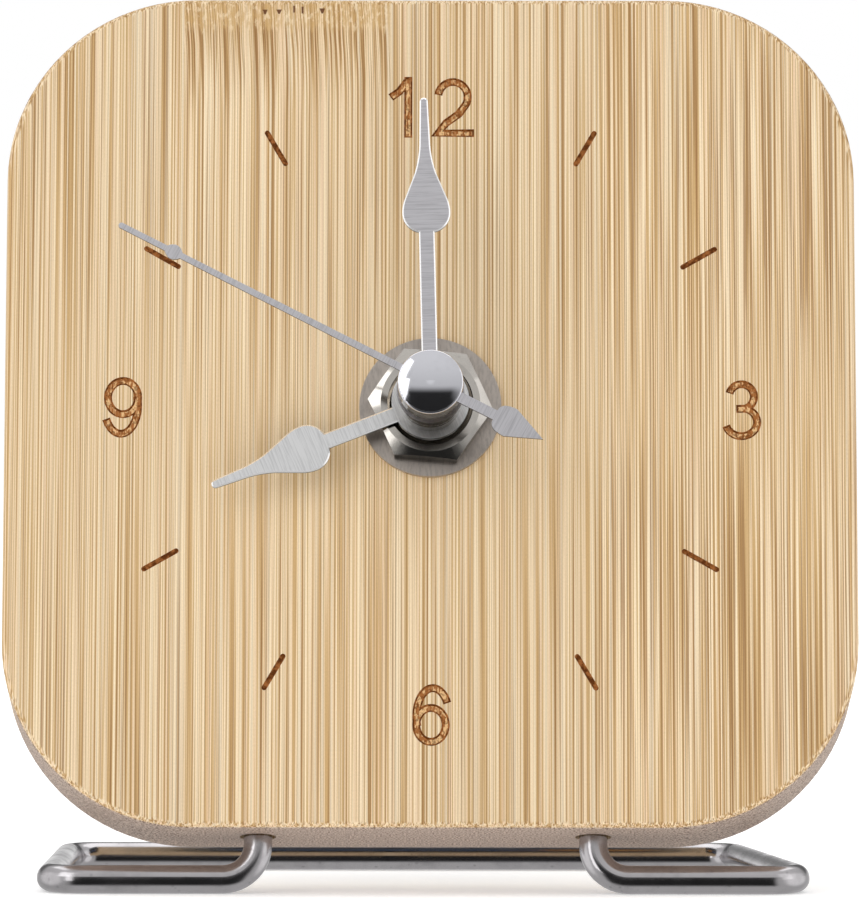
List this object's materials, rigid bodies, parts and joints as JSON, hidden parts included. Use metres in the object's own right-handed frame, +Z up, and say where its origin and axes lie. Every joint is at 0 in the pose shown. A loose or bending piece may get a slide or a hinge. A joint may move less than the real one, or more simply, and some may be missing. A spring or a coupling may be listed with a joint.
{
  "type": "desk clock",
  "caption": "Rounded-square bamboo desk clock, leaning back on a bent-wire stand, with leaf hands and a battery quartz movement set into its back.",
  "frame": {"origin": "on the table, midway between the stand's front and rear bars, below the dial's centre line", "axes": "+X to the viewer's right across the dial, -Y towards the viewer, +Z up"},
  "size_m": [0.09, 0.0477, 0.0944],
  "materials": {
    "bamboo": "satin",
    "stainless_wire": "polished",
    "washer_steel": "satin",
    "nickel_brass": "polished",
    "rubber": "matte",
    "black_plastic": "matte",
    "train_plastic": "matte",
    "magnet": "satin",
    "soft_iron": "satin",
    "copper_wire": "satin",
    "circuit": "matte",
    "crystal_can": "satin",
    "epoxy": "gloss",
    "contact_steel": "satin",
    "cell": "satin",
    "hand_aluminium": "brushed",
    "collet_metal": "polished"
  },
  "bodies": {
    "clock": {"clock_board": "bamboo", "wire_stand": "stainless_wire", "dial_washer": "washer_steel", "hex_nut": "nickel_brass", "dial_gasket": "rubber", "threaded_bush": "nickel_brass", "movement_case": "black_plastic", "rear_cover": "black_plastic", "train_plate": "train_plastic", "stator": "soft_iron", "coil_core": "soft_iron", "coil_bobbin": "train_plastic", "coil_winding": "copper_wire", "circuit_board": "circuit", "quartz_crystal": "crystal_can", "control_chip": "epoxy", "battery_cell": "cell", "positive_contact": "contact_steel", "negative_contact": "contact_steel"},
    "second_set": {"second_wheel": "train_plastic", "second_hand": "hand_aluminium", "second_hand_collet": "collet_metal", "second_hand_cap": "collet_metal"},
    "minute_set": {"cannon_pinion": "train_plastic", "minute_hand": "hand_aluminium", "minute_hand_collet": "collet_metal"},
    "hour_set": {"hour_wheel": "train_plastic", "hour_hand": "hand_aluminium", "hour_hand_collet": "collet_metal"},
    "centre_set": {"centre_wheel": "train_plastic"},
    "third_set": {"third_wheel": "train_plastic"},
    "intermediate_set": {"intermediate_wheel": "train_plastic"},
    "rotor_set": {"rotor_pinion": "train_plastic", "rotor_magnet": "magnet"},
    "motion_set": {"minute_wheel": "train_plastic"},
    "setting_set": {"setting_pinion": "train_plastic", "setting_knob": "black_plastic"}
  },
  "joints": [
    {"name": "second_spin", "type": "hinge", "parent": "clock", "child": "second_set", "pos_m": [0, -0.01326, 0.05086], "axis": [0, 0.9703, -0.2419], "continuous": true},
    {"name": "minute_spin", "type": "hinge", "parent": "clock", "child": "minute_set", "pos_m": [0, -0.01326, 0.05086], "axis": [0, 0.9703, -0.2419], "continuous": true},
    {"name": "hour_spin", "type": "hinge", "parent": "clock", "child": "hour_set", "pos_m": [0, -0.01326, 0.05086], "axis": [0, 0.9703, -0.2419], "continuous": true},
    {"name": "centre_spin", "type": "hinge", "parent": "clock", "child": "centre_set", "pos_m": [0, -0.01326, 0.05086], "axis": [0, 0.9703, -0.2419], "continuous": true},
    {"name": "third_spin", "type": "hinge", "parent": "clock", "child": "third_set", "pos_m": [0.00575, -0.01085, 0.06053], "axis": [0, 0.9703, -0.2419], "continuous": true},
    {"name": "intermediate_spin", "type": "hinge", "parent": "clock", "child": "intermediate_set", "pos_m": [-0.00748, -0.01221, 0.05506], "axis": [0, 0.9703, -0.2419], "continuous": true},
    {"name": "rotor_spin", "type": "hinge", "parent": "clock", "child": "rotor_set", "pos_m": [-0.01168, -0.01045, 0.06211], "axis": [0, 0.9703, -0.2419], "continuous": true},
    {"name": "motion_spin", "type": "hinge", "parent": "clock", "child": "motion_set", "pos_m": [0.012, -0.01326, 0.05086], "axis": [0, 0.9703, -0.2419], "continuous": true},
    {"name": "setting_spin", "type": "hinge", "parent": "clock", "child": "setting_set", "pos_m": [0.02049, -0.0112, 0.0591], "axis": [0, 0.9703, -0.2419], "continuous": true}
  ],
  "couplings": [
    {"joint": "third_spin", "follows": "second_spin", "ratio": -0.13333},
    {"joint": "centre_spin", "follows": "second_spin", "ratio": 0.016667},
    {"joint": "intermediate_spin", "follows": "second_spin", "ratio": -5},
    {"joint": "rotor_spin", "follows": "second_spin", "ratio": 30},
    {"joint": "motion_spin", "follows": "minute_spin", "ratio": -0.33333},
    {"joint": "hour_spin", "follows": "minute_spin", "ratio": 0.083333},
    {"joint": "setting_spin", "follows": "minute_spin", "ratio": 1}
  ]
}
